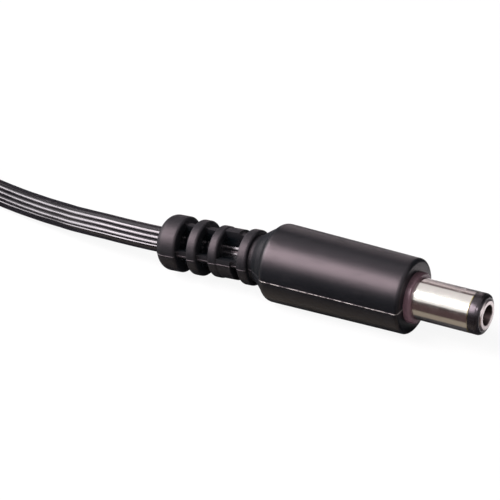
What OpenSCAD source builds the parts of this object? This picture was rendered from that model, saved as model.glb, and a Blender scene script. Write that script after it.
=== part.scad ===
// Moulded dc barrel plug, 5.5 mm sleeve and 2.1 mm centre contact, on a flat twin lead.
// Millimetres. +X points out of the tip, +Z is up. The origin is on the plug's axis,
// in the front face of the collar, where the metal sleeve comes out.

/* [Contacts] */
// Outside diameter of the sleeve contact
sleeve_d = 5.5; // [5.2:0.05:5.8]
// Length of bare metal sleeve in front of the collar
sleeve_len = 7.9; // [6.5:0.1:9.5]
// Wall of the sleeve contact
sleeve_wall = 0.4; // [0.3:0.05:0.5]
// Length of the black insulating nose in front of the sleeve
nose_len = 1.4; // [1:0.1:2]
// How far the centre contact's rim stands out of the nose
rim_proud = 0.2; // [0.1:0.05:0.4]
// Outside diameter of the centre contact's rim
rim_d = 4.1; // [3.7:0.05:4.3]
// Bore of the centre contact
centre_bore_d = 2.1; // [1.9:0.05:2.3]
// Diameter of the funnel at the mouth of the bore
funnel_d = 2.8; // [2.6:0.05:3]
// Outside diameter of the centre contact's tube
centre_tube_d = 3; // [2.9:0.05:3.3]
// Depth of the centre bore behind its funnel
centre_bore_len = 9.1; // [8:0.1:9.3]
// Diameter of the centre contact's riveted stem
stem_d = 1.6; // [1.4:0.1:1.8]
// Diameter of the rivet head
rivet_d = 2.6; // [2.3:0.1:3]
// Thickness of the stamped solder tags
tag_t = 0.4; // [0.3:0.05:0.5]
// Width of the solder tags' arms
tag_w = 2; // [1.7:0.1:2.2]
// Length of the solder tags' arms behind the rivet
tag_arm_len = 5; // [4:0.1:5.3]
// Thickness of the insulating washer
washer_t = 0.8; // [0.6:0.1:1]

/* [Body] */
// Diameter of the collar round the sleeve
collar_d = 6.8; // [6.6:0.1:7.4]
// Length of collar in front of the body
collar_len = 0.9; // [0.5:0.1:1.5]
// Diameter of the body at its front
body_front_d = 10.1; // [9.8:0.1:11]
// Diameter of the body at its rear
body_rear_d = 10.6; // [10.4:0.1:11.5]
// Length of the body from its front face to its rear shoulder
body_len = 20.7; // [19:0.1:24]
// Rounding of the body's front edge
front_round = 0.5; // [0.2:0.1:0.8]
// Rounding of the body's rear edge
rear_round = 1.1; // [0.6:0.1:1.4]
// Diameter of the inner mould round the contacts
inner_d = 8; // [7.8:0.1:8.4]
// Length of the inner mould behind the body's front face
inner_len = 13; // [12.8:0.1:14]
// Depth of the keying grooves round the inner mould
key_depth = 0.4; // [0.2:0.1:0.5]
// Width of the keying grooves
key_len = 1.2; // [0.8:0.1:2]

/* [Strain relief] */
// Diameter of the rings, from the body towards the lead
ring_d = [7.5, 7, 7.5, 7.6];
// Length of each ring along the axis
ring_len = [1.5, 1.4, 1.5, 3.3];
// Gap in front of each ring
gap_len = [0.5, 3.2, 1.7, 1.7];
// Diameter over the four spines that join the rings
spine_d = 6.2; // [5.8:0.1:6.5]
// Angle that each spine takes round the axis
spine_angle = 18; // [12:1:26]
// Diameter of the core that covers the flex's narrow edges
core_d = 4.7; // [4.5:0.1:5]
// Length of the shoulder between the body and the neck
shoulder_len = 1.9; // [1.5:0.1:2.5]
// Diameter of the neck
neck_d = 6.4; // [6.2:0.1:6.8]
// Rounding of the rings' outer edges
ring_round = 0.35; // [0.1:0.05:0.5]
// Rounding of the lead end of the last ring
dome_round = 1.4; // [0.8:0.1:1.6]
// How much of the second gap stays filled on the sides that have the flex's edges
land_len = 2.1; // [1.5:0.1:2.3]
// Angle at which the strain relief hangs down under the lead's weight
relief_sag = 3.6; // [0:0.2:4]

/* [Flex] */
// Width of the flat twin flex
flex_w = 3.5; // [3.4:0.05:3.7]
// Thickness of the flat twin flex
flex_t = 1.9; // [1.8:0.05:2]
// Distance between the ridges on the flex's flat faces
ridge_pitch = 0.7; // [0.6:0.02:0.75]
// Radius of the ridges
ridge_r = 0.4; // [0.3:0.02:0.45]
// Turn of the flex's flat face above the horizontal, inside the plug
flex_roll = 38; // [20:1:50]
// Diameter of a bared conductor
strand_d = 0.86; // [0.7:0.02:0.9]

/* [Hank] */
// Number of layers of flex in the hank, laid on edge
hank_layers = 3; // [2:1:4]
// Fold radius of the inner column of turns
fold_r = 10.5; // [10:0.1:12]
// Half of the gap between the middles of the inner runs at the waist
waist_half = 2.4; // [2:0.1:3]
// Half of the distance between the middles of the two folds
fold_half = 20.6; // [17:0.1:21]
// Width of the tie
tie_w = 3.5; // [3:0.1:4]
// Thickness of the tie
tie_t = 0.5; // [0.4:0.05:0.6]
// Diameter over the tie's twisted ends
twist_d = 1.6; // [1.4:0.1:2]
// Length of the tie's twisted ends
twist_len = 11; // [8:0.5:14]
// Diameter of a split core at the free end
tail_d = 1.8; // [1.7:0.05:1.9]
// Length of each bared and tinned end
bare_len = 5; // [4:0.5:6]

/* [Hidden] */
$fn = 64;
black = [0.07, 0.07, 0.075];
nickel = [0.78, 0.77, 0.74];
copper = [0.72, 0.42, 0.26];

// Places along the axis, from the tip back
nose_front = sleeve_len + nose_len;
tip_x = nose_front + rim_proud;
body_front = -collar_len;
body_rear = body_front - body_len;
neck_x = body_rear - shoulder_len;
cable_x = neck_x - total(ring_len) - total(gap_len);
// The sleeve's hidden root and its rear flange
root_d = sleeve_d + 0.5;
flange_d = sleeve_d + 1.1;
flange_front = -2.5;
flange_rear = flange_front - 0.8;
sleeve_bore_d = sleeve_d - 2 * sleeve_wall;
// The stack that the rivet clamps, behind the flange
sleeve_tag_rear = flange_rear - tag_t;
washer_rear = sleeve_tag_rear - washer_t;
centre_tag_rear = washer_rear - tag_t;
rivet_rear = centre_tag_rear - 0.5;
arm_rear = rivet_rear - tag_arm_len;
rim_t = 0.5;
tube_rear = tip_x - rim_t - centre_bore_len - 1;
// The two conductors lie either side of the axis, across the flex's width
core_off = flex_w / 4;
arm_face = core_off + strand_d / 2 + 0.04;
core_d_each = 2 * core_off - 0.04;
strand_front = rivet_rear - 1.2;
solder_len = 1.6;
core_front = arm_rear - 0.3;
split_x = core_front - 2.4;
inner_rear = body_front - inner_len;
// The plug lies on its body, so this is the surface under it
floor_z = -body_rear_d / 2;
// The hank: two columns of turns, side by side
columns = 2;
hank_x = -115.5;
hank_y = -1.2;
outline_off = (columns - 0.5) * flex_t + 0.07;
waist_r = (fold_half * fold_half + waist_half * waist_half - fold_r * fold_r)
          / (2 * (fold_r - waist_half));
waist_y = waist_half + waist_r;
hank_top = floor_z + hank_layers * flex_w;
tail_rise = tail_d / 2;

// Route of the free flex, from the strain relief down to the surface and into the hank
run_route = [
    [-38.2, 0, -1.05], [-40, -0.05, -1.11], [-42, -0.1, -1.15], [-44, -0.1, -1.19],
    [-46, -0.05, -1.24], [-48, 0.1, -1.33], [-50, 0.3, -1.48], [-52, 0.65, -1.7],
    [-54, 1.05, -1.95], [-56, 1.6, -2.2], [-58, 2.2, -2.5], [-60, 2.75, -2.75],
    [-62, 3.3, -2.95], [-64, 3.85, -3.15], [-66, 4.4, -3.3], [-68, 4.95, -3.42],
    [-70, 5.45, -3.47], [-72, 5.95, -3.5], [-74, 6.4, -3.5], [-76, 6.85, -3.5],
    [-78, 7.25, -3.5], [-80, 7.7, -3.5], [-82, 8.15, -3.5], [-84, 8.65, -3.5],
    [-86, 9.2, -3.5], [-88, 9.75, -3.5], [-90, 10.25, -3.5], [-91.5, 10.6, -3.5],
    [-93, 10.9, -3.5]];
// Routes of the two split cores on top of the hank, seen from the middle of its waist
tail_route_a = [[3, -2.7], [6, -3.7], [9, -5.2], [12, -7.4], [15, -9.3], [18, -10.2]];
tail_route_b = [[3, -4.7], [6, -5.8], [9, -7.5], [12, -9.7], [15, -11.4], [18, -12.2]];

// Sum of the first n numbers of a list, or of them all
function total(v, n = undef, i = 0) =
    i >= (is_undef(n) ? len(v) : n) ? 0 : v[i] + total(v, n, i + 1);
// Points of an arc about [r, x]
function arc(c, r, a0, a1, n = 5) =
    [for (i = [0:n]) c + r * [cos(a0 + (a1 - a0) * i / n), sin(a0 + (a1 - a0) * i / n)]];
// Front of ring i, and the gap in front of it
function ring_front(i) = neck_x - total(ring_len, i) - total(gap_len, i + 1);
function gap_front(i) = ring_front(i) + gap_len[i];
// Outline of one ring as [radius, x] points, with its two outer edges rounded
function ring_outline(i) =
    concat(
        [[spine_d / 2, ring_front(i)]],
        arc([ring_d[i] / 2 - ring_round, ring_front(i) - ring_round], ring_round, 90, 0),
        i == len(ring_d) - 1
            ? arc([ring_d[i] / 2 - dome_round, cable_x + dome_round], dome_round, 0, -75, 9)
            : concat(
                arc([ring_d[i] / 2 - ring_round, ring_front(i) - ring_len[i] + ring_round],
                    ring_round, 0, -90),
                [[spine_d / 2, ring_front(i) - ring_len[i]]]));
// Rotation that takes the Z axis to the direction v
function aim(v) = [0, acos(v[2] / norm(v)), atan2(v[1], v[0])];

// A solid of revolution about the X axis, from an outline of [radius, x] points
module turned(outline) {
    rotate([0, 90, 0]) rotate_extrude() polygon(outline);
}

// A cylinder along X from x0 to x1
module rod(x0, x1, d, d1 = undef) {
    translate([x0, 0, 0]) rotate([0, 90, 0])
        cylinder(h = x1 - x0, d1 = d, d2 = is_undef(d1) ? d : d1);
}

// Turns the contacts' wiring to the roll of the flex: its width lies along local Z
module rolled() {
    rotate([-flex_roll, 0, 0]) children();
}

// Hangs the strain relief from the rear of the body
module sagged() {
    translate([body_rear, 0, 0]) rotate([0, -relief_sag, 0]) translate([-body_rear, 0, 0])
        children();
}

// Section of the flat twin flex: round edges, and three ridges on each flat face
module flex_section() {
    edge_r = flex_t / 2;
    for (s = [-1, 1]) translate([s * (flex_w / 2 - edge_r), 0]) circle(r = edge_r);
    square([flex_w - 2 * edge_r, flex_t - 0.25], center = true);
    for (s = [-1, 1], k = [-1:1])
        translate([k * ridge_pitch, s * (edge_r - ridge_r)]) circle(r = ridge_r);
}

// A straight length of flex along X, from x0 to x1
module flex_bar(x0, x1) {
    translate([x0, 0, 0]) rotate([0, 90, 0]) linear_extrude(x1 - x0) flex_section();
}

// A tube swept along a route, with an elliptical section of 8 sides. The section's long
// axis is at roll0 degrees from the vertical and turns to roll1 in the last part of the
// route, and the ends are closed.
module swept(route, width, thick, roll0 = 0, roll1 = 0) {
    sides = 8;
    last = len(route) - 1;
    fit = 1 / cos(180 / sides);
    rings = [for (i = [0:last])
        let (d = route[min(i + 1, last)] - route[max(i - 1, 0)],
             side = cross([0, 0, 1], d) / norm(cross([0, 0, 1], d)),
             up = cross(d, side) / norm(d),
             roll = roll0 + (roll1 - roll0) * min(1, max(0, 5 * i / last - 3.2)))
        for (k = [0:sides - 1])
            let (a = 360 * (k + 0.5) / sides,
                 p = fit * [thick / 2 * cos(a), width / 2 * sin(a)])
            route[i] + side * (p[0] * cos(roll) - p[1] * sin(roll))
                + up * (p[0] * sin(roll) + p[1] * cos(roll))];
    skin = [for (i = [0:last - 1], k = [0:sides - 1])
        let (n = (k + 1) % sides)
        [i * sides + k, (i + 1) * sides + k, (i + 1) * sides + n, i * sides + n]];
    polyhedron(rings, concat(
        skin,
        [[for (k = [0:sides - 1]) k]],
        [[for (k = [sides - 1:-1:0]) last * sides + k]]));
}

// ---- outer moulding ----

// Handle body with a slight draft, rounded at the front, with a sloping rear shoulder
module body_blank() {
    front_r = body_front_d / 2;
    rear_r = body_rear_d / 2;
    turned(concat(
        [[0, body_front]],
        arc([front_r - front_round, body_front - front_round], front_round, 90, 0),
        arc([rear_r - rear_round, body_rear + rear_round], rear_round, 0, -60, 8),
        [[neck_d / 2 - 0.2, neck_x], [0, neck_x]]));
}

// Rings and spines in one revolve: the second gap keeps a land beside the ring behind it
module relief_blank() {
    land_front = ring_front(1) + land_len;
    turned(concat(
        [[0, neck_x + 0.6], [neck_d / 2, neck_x + 0.6], [neck_d / 2, neck_x - 0.2],
         [spine_d / 2, ring_front(0)]],
        ring_outline(0),
        [[spine_d / 2, land_front], [ring_d[1] / 2 - 0.1, land_front - 0.15],
         [ring_d[1] / 2 - 0.05, ring_front(1)]],
        [for (p = ring_outline(1)) if (p[1] < ring_front(1) - 0.01) p],
        ring_outline(2),
        ring_outline(3),
        [[0, cable_x]]));
}

// One window: a sector of the gap between two spines, from x0 to x1
module window(quadrant, x0, x1) {
    reach = 6;
    a0 = quadrant * 90 + spine_angle / 2;
    a1 = a0 + 90 - spine_angle;
    mid = (a0 + a1) / 2;
    translate([x0, 0, 0]) rotate([90, 0, 90]) linear_extrude(x1 - x0)
        polygon([[0, 0], reach * [cos(a0), sin(a0)], 1.3 * reach * [cos(mid), sin(mid)],
                 reach * [cos(a1), sin(a1)]]);
}

// The windows of one gap. Those over the flex's flat faces go down to the flex itself,
// and those over its narrow edges stop at the core.
module gap_windows(i) {
    x0 = ring_front(i);
    x1 = gap_front(i);
    for (q = [1, 3]) window(q, x0, x1);
    difference() {
        for (q = [0, 2]) window(q, i == 1 ? x0 + land_len : x0, x1);
        rod(x0 - 1, x1 + 1, core_d);
    }
}

module overmould() {
    color(black) difference() {
        union() {
            body_blank();
            sagged() difference() {
                relief_blank();
                for (i = [1:len(ring_d) - 1]) gap_windows(i);
            }
        }
        inner_blank();
        embedded_flex(1);
    }
}

// ---- inner moulding ----

// Outside of the inner mould: collar, keyed block and tapered rear
module inner_blank() {
    r = inner_d / 2;
    key_r = r - key_depth;
    block_front = body_front - 1.2;
    turned(concat(
        [[0, 0], [collar_d / 2 - 0.2, 0], [collar_d / 2, -0.2],
         [collar_d / 2, block_front], [r, block_front]],
        [for (x = [block_front - 2.6, block_front - 6.2],
              p = [[r, x], [key_r, x], [key_r, x - key_len], [r, x - key_len]]) p],
        [[r, inner_rear + 1.4], [r - 1.2, inner_rear], [0, inner_rear]]));
}

module inner_mould() {
    color([0.1, 0.1, 0.105]) difference() {
        inner_blank();
        rod(flange_front, 1, root_d);
        rod(flange_rear, flange_front, flange_d);
        rod(washer_rear, flange_rear, flange_d);
        rod(rivet_rear, washer_rear, rivet_d);
        rolled() {
            sleeve_tag_arm();
            centre_tag_plate();
            for (s = [-1, 1]) translate([0, 0, s * core_off]) {
                rod(arm_rear, strand_front, strand_d);
                solder_blank();
                rod(split_x, core_front, core_d_each);
                rod(core_front - 1, arm_rear + 1, strand_d);
            }
        }
        embedded_flex(1);
    }
}

// ---- contacts ----

module outer_barrel() {
    edge = 0.12;
    color(nickel) difference() {
        turned([[0, sleeve_len], [sleeve_d / 2 - edge, sleeve_len],
                [sleeve_d / 2, sleeve_len - edge], [sleeve_d / 2, 0],
                [root_d / 2, 0], [root_d / 2, flange_front],
                [flange_d / 2, flange_front], [flange_d / 2, flange_rear],
                [0, flange_rear]]);
        rod(flange_rear - 1, sleeve_len + 1, sleeve_bore_d);
    }
}

module tip_insulator() {
    nose_r = sleeve_d / 2;
    color(black) difference() {
        turned([[0, nose_front], [nose_r - 0.45, nose_front], [nose_r - 0.12, nose_front - 0.2],
                [nose_r, nose_front - 0.5], [nose_r, sleeve_len],
                [sleeve_bore_d / 2, sleeve_len], [sleeve_bore_d / 2, sleeve_tag_rear],
                [0, sleeve_tag_rear]]);
        rod(tip_x - rim_t, tip_x, rim_d);
        rod(tube_rear, tip_x, centre_tube_d);
        rod(sleeve_tag_rear - 1, tube_rear + 1, stem_d);
    }
}

module centre_contact() {
    funnel_len = (funnel_d - centre_bore_d) / 2;
    rim_r = rim_d / 2;
    color(nickel) difference() {
        union() {
            turned([[0, tip_x], [rim_r - 0.15, tip_x], [rim_r, tip_x - 0.15],
                    [rim_r, tip_x - rim_t], [0, tip_x - rim_t]]);
            rod(tube_rear, tip_x - rim_t, centre_tube_d);
            rod(centre_tag_rear, tube_rear, stem_d);
            rod(rivet_rear, centre_tag_rear, rivet_d - 0.8, rivet_d);
        }
        rod(tip_x - funnel_len - centre_bore_len, tip_x, centre_bore_d);
        rod(tip_x - funnel_len, tip_x, centre_bore_d, funnel_d);
    }
}

// Arm of the sleeve tag: back from the ring, in behind the rivet, and back again
module sleeve_tag_arm() {
    outer = flange_d / 2;
    step_x = rivet_rear - 0.3;
    translate([step_x - tag_t, -tag_w / 2, -outer]) cube([sleeve_tag_rear - step_x + tag_t, tag_w, tag_t]);
    translate([step_x - tag_t, -tag_w / 2, -outer]) cube([tag_t, tag_w, outer - arm_face]);
    translate([arm_rear, -tag_w / 2, -arm_face - tag_t]) cube([step_x - arm_rear, tag_w, tag_t]);
}

module sleeve_tag() {
    color(nickel) {
        difference() {
            rod(sleeve_tag_rear, flange_rear, flange_d);
            rod(sleeve_tag_rear - 1, flange_rear + 1, sleeve_bore_d);
        }
        rolled() sleeve_tag_arm();
    }
}

module rear_washer() {
    color([0.45, 0.25, 0.15]) difference() {
        rod(washer_rear, sleeve_tag_rear, flange_d - 2 * tag_t);
        rod(washer_rear - 1, sleeve_tag_rear + 1, stem_d);
    }
}

// The centre tag before its hole: a foot under the rivet, bent back into an arm
module centre_tag_plate() {
    foot_r = 1.5;
    rod(centre_tag_rear, washer_rear, 2 * foot_r);
    translate([centre_tag_rear, -tag_w / 2, 0]) cube([tag_t, tag_w, arm_face + tag_t]);
    translate([arm_rear, -tag_w / 2, arm_face]) cube([washer_rear - arm_rear, tag_w, tag_t]);
}

module centre_tag() {
    color(nickel) difference() {
        rolled() centre_tag_plate();
        rod(centre_tag_rear - 1, washer_rear + 1, stem_d);
    }
}

// ---- wiring inside the moulding ----

// Solder round a conductor, before the tag and the conductor are taken out of it
module solder_blank() {
    r = core_off - 0.07;
    front = strand_front - 0.3;
    rod(front - solder_len, front, 2 * r);
    rod(front, front + 0.4, 2 * r, 1.3 * r);
    rod(front - solder_len - 0.4, front - solder_len, 1.3 * r, 2 * r);
}

module sleeve_solder() {
    color([0.7, 0.7, 0.72]) rolled() difference() {
        translate([0, 0, -core_off]) solder_blank();
        sleeve_tag_arm();
        translate([0, 0, -core_off]) rod(core_front, 0, strand_d);
    }
}

module centre_solder() {
    color([0.7, 0.7, 0.72]) rolled() difference() {
        translate([0, 0, core_off]) solder_blank();
        centre_tag_plate();
        translate([0, 0, core_off]) rod(core_front, 0, strand_d);
    }
}

// A bared conductor, from the tag back to where the flex is split
module strands(side) {
    color(copper) rolled() translate([0, 0, side * core_off])
        rod(split_x, strand_front, strand_d);
}

// The insulation of one split core
module split_core(side) {
    color(black) rolled() translate([0, 0, side * core_off]) difference() {
        rod(split_x, core_front, core_d_each);
        rod(split_x - 1, core_front + 1, strand_d);
    }
}

module sleeve_strands() { strands(-1); }
module centre_strands() { strands(1); }
module sleeve_core() { split_core(-1); }
module centre_core() { split_core(1); }

// The flex runs straight from its split to the middle of the strain relief's lead end
module embedded_flex(past = 0) {
    relief_len = body_rear - cable_x;
    run = [split_x - body_rear + relief_len * cos(relief_sag), relief_len * sin(relief_sag)];
    translate([split_x, 0, 0]) rotate([0, -atan2(run[1], run[0]), 0])
        rolled() flex_bar(-norm(run) - past, 0);
}

module relief_flex() {
    color([0.05, 0.05, 0.055]) embedded_flex();
}

// ---- free flex ----

module flex_run() {
    color([0.05, 0.05, 0.055]) difference() {
        swept(run_route, flex_w, flex_t, flex_roll, 0);
        hank_block();
    }
}

// Outline of the hank: two folds joined by a drawn-in waist, all of tangent arcs
module hank_outline() {
    lobe_r = fold_r + outline_off;
    for (s = [-1, 1]) translate([s * fold_half, 0]) circle(r = lobe_r, $fn = 96);
    difference() {
        polygon([[fold_half, 0], [0, waist_y], [-fold_half, 0], [0, -waist_y]]);
        for (s = [-1, 1]) translate([0, s * waist_y]) circle(r = waist_r - outline_off, $fn = 96);
    }
}

module hank_block() {
    translate([hank_x, hank_y, floor_z]) linear_extrude(hank_layers * flex_w) hank_outline();
}

// Loop of the tie round the waist. Its underside lies in the surface that carries the hank.
module tie_loop() {
    half = waist_half + outline_off;
    translate([hank_x, hank_y, floor_z]) difference() {
        translate([-tie_w / 2, -half - tie_t, 0])
            cube([tie_w, 2 * (half + tie_t), hank_layers * flex_w + tie_t]);
        translate([-tie_w, -half, tie_t])
            cube([2 * tie_w, 2 * half, hank_layers * flex_w - tie_t]);
    }
}

module flex_hank() {
    color([0.05, 0.05, 0.055]) difference() {
        hank_block();
        tie_loop();
    }
}

module hank_tie() {
    color([0.12, 0.12, 0.12]) {
        tie_loop();
        translate([hank_x, hank_y + 2.5, hank_top + tie_t + twist_d / 2 - 0.2])
            rotate([0, 90, 20]) cylinder(h = twist_len, d = twist_d);
    }
}

// Puts a flat route on top of the hank
function on_hank(route) = [for (p = route)
    [hank_x + p[0], hank_y + p[1], hank_top + tail_rise]];

module tail_core(route) {
    color(black) swept(on_hank(route), tail_d, tail_d);
}

// The tinned end goes straight on from the last two points of its core's route
module tail_wire(route) {
    ends = on_hank(route);
    last = len(ends) - 1;
    color([0.75, 0.75, 0.77]) translate(ends[last])
        rotate(aim(ends[last] - ends[last - 1])) cylinder(h = bare_len, d = strand_d);
}

module tail_core_a() { tail_core(tail_route_a); }
module tail_core_b() { tail_core(tail_route_b); }
module tail_wire_a() { tail_wire(tail_route_a); }
module tail_wire_b() { tail_wire(tail_route_b); }

overmould();
inner_mould();
outer_barrel();
tip_insulator();
centre_contact();
sleeve_tag();
rear_washer();
centre_tag();
sleeve_solder();
centre_solder();
sleeve_strands();
centre_strands();
sleeve_core();
centre_core();
relief_flex();
flex_run();
flex_hank();
hank_tie();
tail_core_a();
tail_core_b();
tail_wire_a();
tail_wire_b();
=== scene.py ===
import math

import bpy
import numpy as np
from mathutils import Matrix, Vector


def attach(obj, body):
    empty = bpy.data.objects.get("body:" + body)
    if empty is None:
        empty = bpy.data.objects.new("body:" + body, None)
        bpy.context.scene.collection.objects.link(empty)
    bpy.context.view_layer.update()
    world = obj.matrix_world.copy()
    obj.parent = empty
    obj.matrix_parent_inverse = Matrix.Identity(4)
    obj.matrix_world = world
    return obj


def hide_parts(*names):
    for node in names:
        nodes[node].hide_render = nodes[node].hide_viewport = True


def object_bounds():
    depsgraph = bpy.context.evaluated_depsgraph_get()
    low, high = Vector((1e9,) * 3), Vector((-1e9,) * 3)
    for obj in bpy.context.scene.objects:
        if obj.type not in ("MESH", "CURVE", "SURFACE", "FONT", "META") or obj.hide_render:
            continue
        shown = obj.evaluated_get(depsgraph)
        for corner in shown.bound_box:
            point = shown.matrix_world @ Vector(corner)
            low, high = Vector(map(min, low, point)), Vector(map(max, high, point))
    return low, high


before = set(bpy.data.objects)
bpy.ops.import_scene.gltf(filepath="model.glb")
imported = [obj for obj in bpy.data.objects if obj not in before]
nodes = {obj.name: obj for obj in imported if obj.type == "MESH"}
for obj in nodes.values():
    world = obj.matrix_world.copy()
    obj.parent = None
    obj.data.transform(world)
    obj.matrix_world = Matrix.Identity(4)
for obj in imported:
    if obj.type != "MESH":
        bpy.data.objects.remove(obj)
cad_box = [[float(c) for c in corner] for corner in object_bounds()]
scene = bpy.context.scene

# ---- camera ----
# A long lens above the lead's near side. The plug lies on its handle and points away
# to the right, and the lead comes in from the left.
AZIMUTH, HEIGHT = math.radians(28.94), math.radians(27.5)
AIM, DISTANCE = Vector((-0.0139, 0, 0)), 0.3627


def towards(azimuth, height):
    """The unit vector towards an azimuth, counted from -Y, and a height, both in radians."""
    return Vector((math.sin(azimuth) * math.cos(height), -math.cos(azimuth) * math.cos(height),
                   math.sin(height)))


back = towards(AZIMUTH, HEIGHT)
lens = bpy.data.cameras.new("camera")
lens.lens, lens.sensor_width = 200, 36
lens.shift_x, lens.shift_y = -0.1528, 0.0486
lens.clip_start, lens.clip_end = 0.01, 20
camera = bpy.data.objects.new("camera", lens)
camera.location = AIM + back * DISTANCE
camera.rotation_euler = (-back).to_track_quat("-Z", "Y").to_euler()
scene.collection.objects.link(camera)
scene.camera = camera
scene.view_settings.view_transform = "Standard"


# ---- shader wires ----
# Materials are written as sums and products of sockets. A Wire holds one output socket,
# and a Finish holds one material with one Principled shader.
class Wire:
    """One output socket. Arithmetic on it adds a Math node."""

    def __init__(self, finish, socket):
        self.finish, self.socket = finish, socket

    def math(self, operation, *values):
        return self.finish.node("ShaderNodeMath", {"operation": operation},
                                dict(enumerate(values)))

    def __add__(self, other):
        return self.math("ADD", self, other)

    __radd__ = __add__

    def __mul__(self, other):
        return self.math("MULTIPLY", self, other)

    def __sub__(self, other):
        return self.math("SUBTRACT", self, other)

    def __rsub__(self, other):
        return self.math("SUBTRACT", other, self)

    def __pow__(self, other):
        return self.math("POWER", self, other)

    def __abs__(self):
        return self.math("ABSOLUTE", self)

    def within(self, low, high):
        """0 below low, 1 above high, and smooth between them."""
        return self.finish.node(
            "ShaderNodeMapRange", {"interpolation_type": "SMOOTHSTEP"},
            {"Value": self, "From Min": low, "From Max": high})


class Finish:
    """A material with one Principled shader, whose fixed sockets are given by name."""

    def __init__(self, name, **fixed):
        self.material = bpy.data.materials.new(name)
        self.material.use_nodes = True
        self.tree = self.material.node_tree
        self.shader = self.tree.nodes["Principled BSDF"]
        for socket, value in fixed.items():
            self.shader.inputs[socket.replace("_", " ")].default_value = value

    def node(self, kind, settings=None, values=None, out=0):
        """Adds a node: its settings first, then the values or links of its sockets."""
        made = self.tree.nodes.new(kind)
        for key, value in (settings or {}).items():
            setattr(made, key, value)
        for key, value in (values or {}).items():
            if isinstance(value, Wire):
                self.tree.links.new(value.socket, made.inputs[key])
            else:
                made.inputs[key].default_value = value
        return Wire(self, made.outputs[out])

    def millimetres(self, stretch=(1, 1, 1)):
        """Object coordinates in millimetres, stretched along each axis."""
        place = self.node("ShaderNodeTexCoord", out="Object")
        return self.node("ShaderNodeVectorMath", {"operation": "MULTIPLY"},
                         {0: place, 1: tuple(1000 * s for s in stretch)})

    def axes(self, vector):
        """The three numbers of a vector."""
        split = self.node("ShaderNodeSeparateXYZ", values={0: vector})
        outs = split.socket.node.outputs
        return [Wire(self, outs[i]) for i in range(3)]

    def noise(self, vector, scale, detail=2.0, roughness=0.5):
        return self.node("ShaderNodeTexNoise", values={
            "Vector": vector, "Scale": scale, "Detail": detail, "Roughness": roughness})

    def blend(self, factor, one, other):
        """Colour one where factor is 0 and the other where it is 1."""
        return self.node("ShaderNodeMix", {"data_type": "RGBA"},
                         {"Factor": factor, 6: one, 7: other}, out=2)

    def bump(self, height, depth_mm, strength=1.0, normal=None):
        """A normal from a height between 0 and 1 that is depth_mm tall."""
        values = {"Height": height, "Strength": strength, "Distance": depth_mm / 1000}
        if normal is not None:
            values["Normal"] = normal
        return self.node("ShaderNodeBump", values=values)

    def feed(self, **sockets):
        """Links what varies over the surface into the shader."""
        for socket, wire in sockets.items():
            self.tree.links.new(wire.socket, self.shader.inputs[socket.replace("_", " ")])
        return self.material


def grey(value):
    return (value, value, value, 1)


# ---- floor, backdrop and lamps ----
# A white floor under soft boxes. Rays from the camera see it nearly white, with the part's
# soft shadow kept, and rays from gloss see it darker.
floor_z = cad_box[0][2]
FLOOR_HALF, SEEN_SHARE, GLOSS_SHARE = 2, 0.9, 0.19
RAYS = ("Is Camera Ray", "Is Glossy Ray", "Is Transmission Ray")


def sheet_of(name, corners):
    """A flat sheet with the corners given."""
    mesh = bpy.data.meshes.new(name)
    mesh.from_pydata(corners, [], [range(len(corners))])
    made = bpy.data.objects.new(name, mesh)
    scene.collection.objects.link(made)
    return made


def level_corners(x0, x1, y0, y1, z):
    """The corners of a level sheet."""
    return [(x0, y0, z), (x1, y0, z), (x1, y1, z), (x0, y1, z)]


def upright_corners(x0, x1, y, z0, z1):
    """The corners of an upright sheet that faces along Y."""
    return [(x0, y, z0), (x1, y, z0), (x1, y, z1), (x0, y, z1)]


floor = sheet_of("floor", level_corners(-FLOOR_HALF, FLOOR_HALF, -FLOOR_HALF, FLOOR_HALF, floor_z))
paper = Finish("paper")
tree = paper.tree
tree.nodes.remove(paper.shader)
path_node = tree.nodes.new("ShaderNodeLightPath")
seen, mirrored, through = (Wire(paper, path_node.outputs[ray]) for ray in RAYS)
matt = paper.node("ShaderNodeBsdfDiffuse", values={"Color": grey(0.8)})
white = paper.node("ShaderNodeEmission", values={"Color": grey(1.0), "Strength": 1.0})
share = seen * SEEN_SHARE + mirrored * GLOSS_SHARE + through * SEEN_SHARE
both = paper.node("ShaderNodeMixShader", values={0: share, 1: matt, 2: white})
tree.links.new(both.socket, tree.nodes["Material Output"].inputs[0])
floor.data.materials.append(paper.material)

# The world is white to those three kinds of ray, and dimmer as a light
WORLD_LIGHT = 0.25
world = bpy.data.worlds.new("world")
world.use_nodes = True
scene.world = world
sky = world.node_tree
background = sky.nodes["Background"]
background.inputs["Color"].default_value = grey(1.0)
light_path = sky.nodes.new("ShaderNodeLightPath")
strongest = light_path.outputs[RAYS[0]]
for ray in RAYS[1:]:
    either = sky.nodes.new("ShaderNodeMath")
    either.operation = "MAXIMUM"
    sky.links.new(strongest, either.inputs[0])
    sky.links.new(light_path.outputs[ray], either.inputs[1])
    strongest = either.outputs[0]
level = sky.nodes.new("ShaderNodeMapRange")
level.inputs["To Min"].default_value = WORLD_LIGHT
level.inputs["To Max"].default_value = 1.0
sky.links.new(strongest, level.inputs["Value"])
sky.links.new(level.outputs[0], background.inputs["Strength"])


def soft_box(name, azimuth, height, distance, width, tall, power, colour=(1, 1, 1)):
    """A rectangular lamp that faces the plug from an azimuth and a height in degrees. Its
    distance and sides are in metres and its power is in watts."""
    away = towards(math.radians(azimuth), math.radians(height))
    lamp = bpy.data.lights.new(name, "AREA")
    lamp.shape, lamp.size, lamp.size_y = "RECTANGLE", width, tall
    lamp.energy, lamp.color = power, colour
    made = bpy.data.objects.new(name, lamp)
    made.location = LAMP_AIM + away * distance
    made.rotation_euler = (-away).to_track_quat("-Z", "Y").to_euler()
    scene.collection.objects.link(made)


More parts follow.
